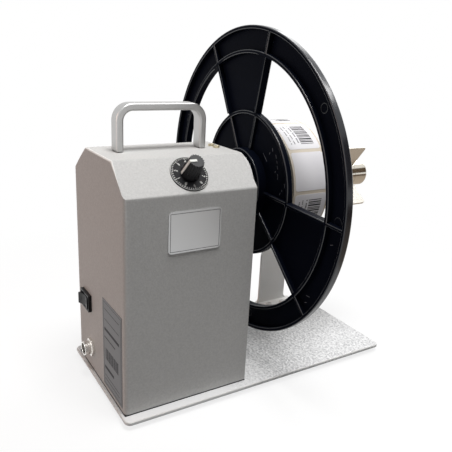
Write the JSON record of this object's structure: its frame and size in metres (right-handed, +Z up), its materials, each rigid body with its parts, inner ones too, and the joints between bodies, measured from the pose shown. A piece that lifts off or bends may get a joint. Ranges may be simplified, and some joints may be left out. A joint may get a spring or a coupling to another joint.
{
  "type": "label rewinder",
  "caption": "Bench-top label rewinder: a motor cabinet with speed knob and handle on a base plate drives a spindle with an open reel wheel, core fins and a label roll.",
  "frame": {"origin": "on the bench, under the middle of the whole machine's box", "axes": "+X along the spindle towards its free end, +Y to the back, +Z up"},
  "size_m": [0.279, 0.262, 0.2985],
  "materials": {
    "cabinet_paint": "fine textured powder coat, light warm grey",
    "base_paint": "hammered paint, light grey",
    "reel_plastic": "moulded ABS, satin black",
    "switch_plastic": "moulded nylon, black",
    "knob_plastic": "moulded, fluted, black",
    "dial_face": "printed dial, black with white ticks",
    "handle_aluminium": "satin anodised",
    "plate_aluminium": "satin, bare",
    "sticker": "bare grey film",
    "nickel": "nickel plated",
    "spindle_steel": "turned, nickel plated",
    "zinc_steel": "zinc plated",
    "brass": "yellow passivated",
    "rubber": "moulded",
    "bearing_steel": "ground",
    "motor_steel": "zinc plated can",
    "coupling_aluminium": "turned",
    "board": "glass fibre laminate, solder mask",
    "sink_black": "black anodised",
    "insulator": "moulded",
    "core_board": "wound grey board",
    "label_paper": "white labels on a beige liner"
  },
  "bodies": {
    "frame": {"base_plate": "base_paint", "rubber_feet": "rubber", "foot_screws": "zinc_steel", "cabinet_cover": "cabinet_paint", "right_end_plate": "cabinet_paint", "cabinet_screws": "zinc_steel", "roof_screws": "brass", "carry_handle": "handle_aluminium", "handle_screws": "zinc_steel", "name_plate": "plate_aluminium", "rating_sticker": "sticker", "dial_plate": "dial_face", "potentiometer": "zinc_steel", "pot_nut": "zinc_steel", "switch_housing": "switch_plastic", "socket_shell": "nickel", "socket_insert": "insulator", "socket_nut": "nickel", "bearing_housing": "cabinet_paint", "nose_sleeve": "cabinet_paint", "front_bearing": "bearing_steel", "rear_bearing": "bearing_steel", "housing_screws": "zinc_steel", "gear_motor": "motor_steel", "motor_bracket": "zinc_steel", "motor_screws": "zinc_steel", "bracket_screws": "zinc_steel", "control_board": "board", "board_standoffs": "brass", "board_screws": "zinc_steel", "heat_sink": "sink_black", "board_capacitor": "insulator", "terminal_block": "board", "guide_plate": "base_paint", "guide_screws": "zinc_steel"},
    "reel": {"spindle": "spindle_steel", "retaining_ring": "zinc_steel", "reel_wheel": "reel_plastic", "wheel_collar": "zinc_steel", "collar_screws": "zinc_steel", "core_fins": "nickel", "shaft_coupling": "coupling_aluminium", "coupling_screws": "zinc_steel", "motor_shaft": "bearing_steel"},
    "label_roll": {"roll_core": "core_board", "label_web": "label_paper"},
    "knob": {"speed_knob": "knob_plastic", "pot_shaft": "coupling_aluminium"},
    "rocker": {"switch_rocker": "switch_plastic"}
  },
  "joints": [
    {"name": "reel_spin", "type": "hinge", "parent": "frame", "child": "reel", "pos_m": [-0.0005, 0, 0.1675], "axis": [1, 0, 0], "continuous": true},
    {"name": "roll_off", "type": "slide", "parent": "reel", "child": "label_roll", "axis": [1, 0, 0], "range_m": [0, 0.14]},
    {"name": "knob_turn", "type": "hinge", "parent": "frame", "child": "knob", "pos_m": [-0.0755, -0.04248, 0.19], "axis": [0, -0.6764, 0.7365], "range_deg": [-240, 60]},
    {"name": "rocker_tilt", "type": "hinge", "parent": "frame", "child": "rocker", "pos_m": [-0.1315, 0.03, 0.0695], "axis": [0, 0, -1], "range_deg": [0, 16]}
  ]
}
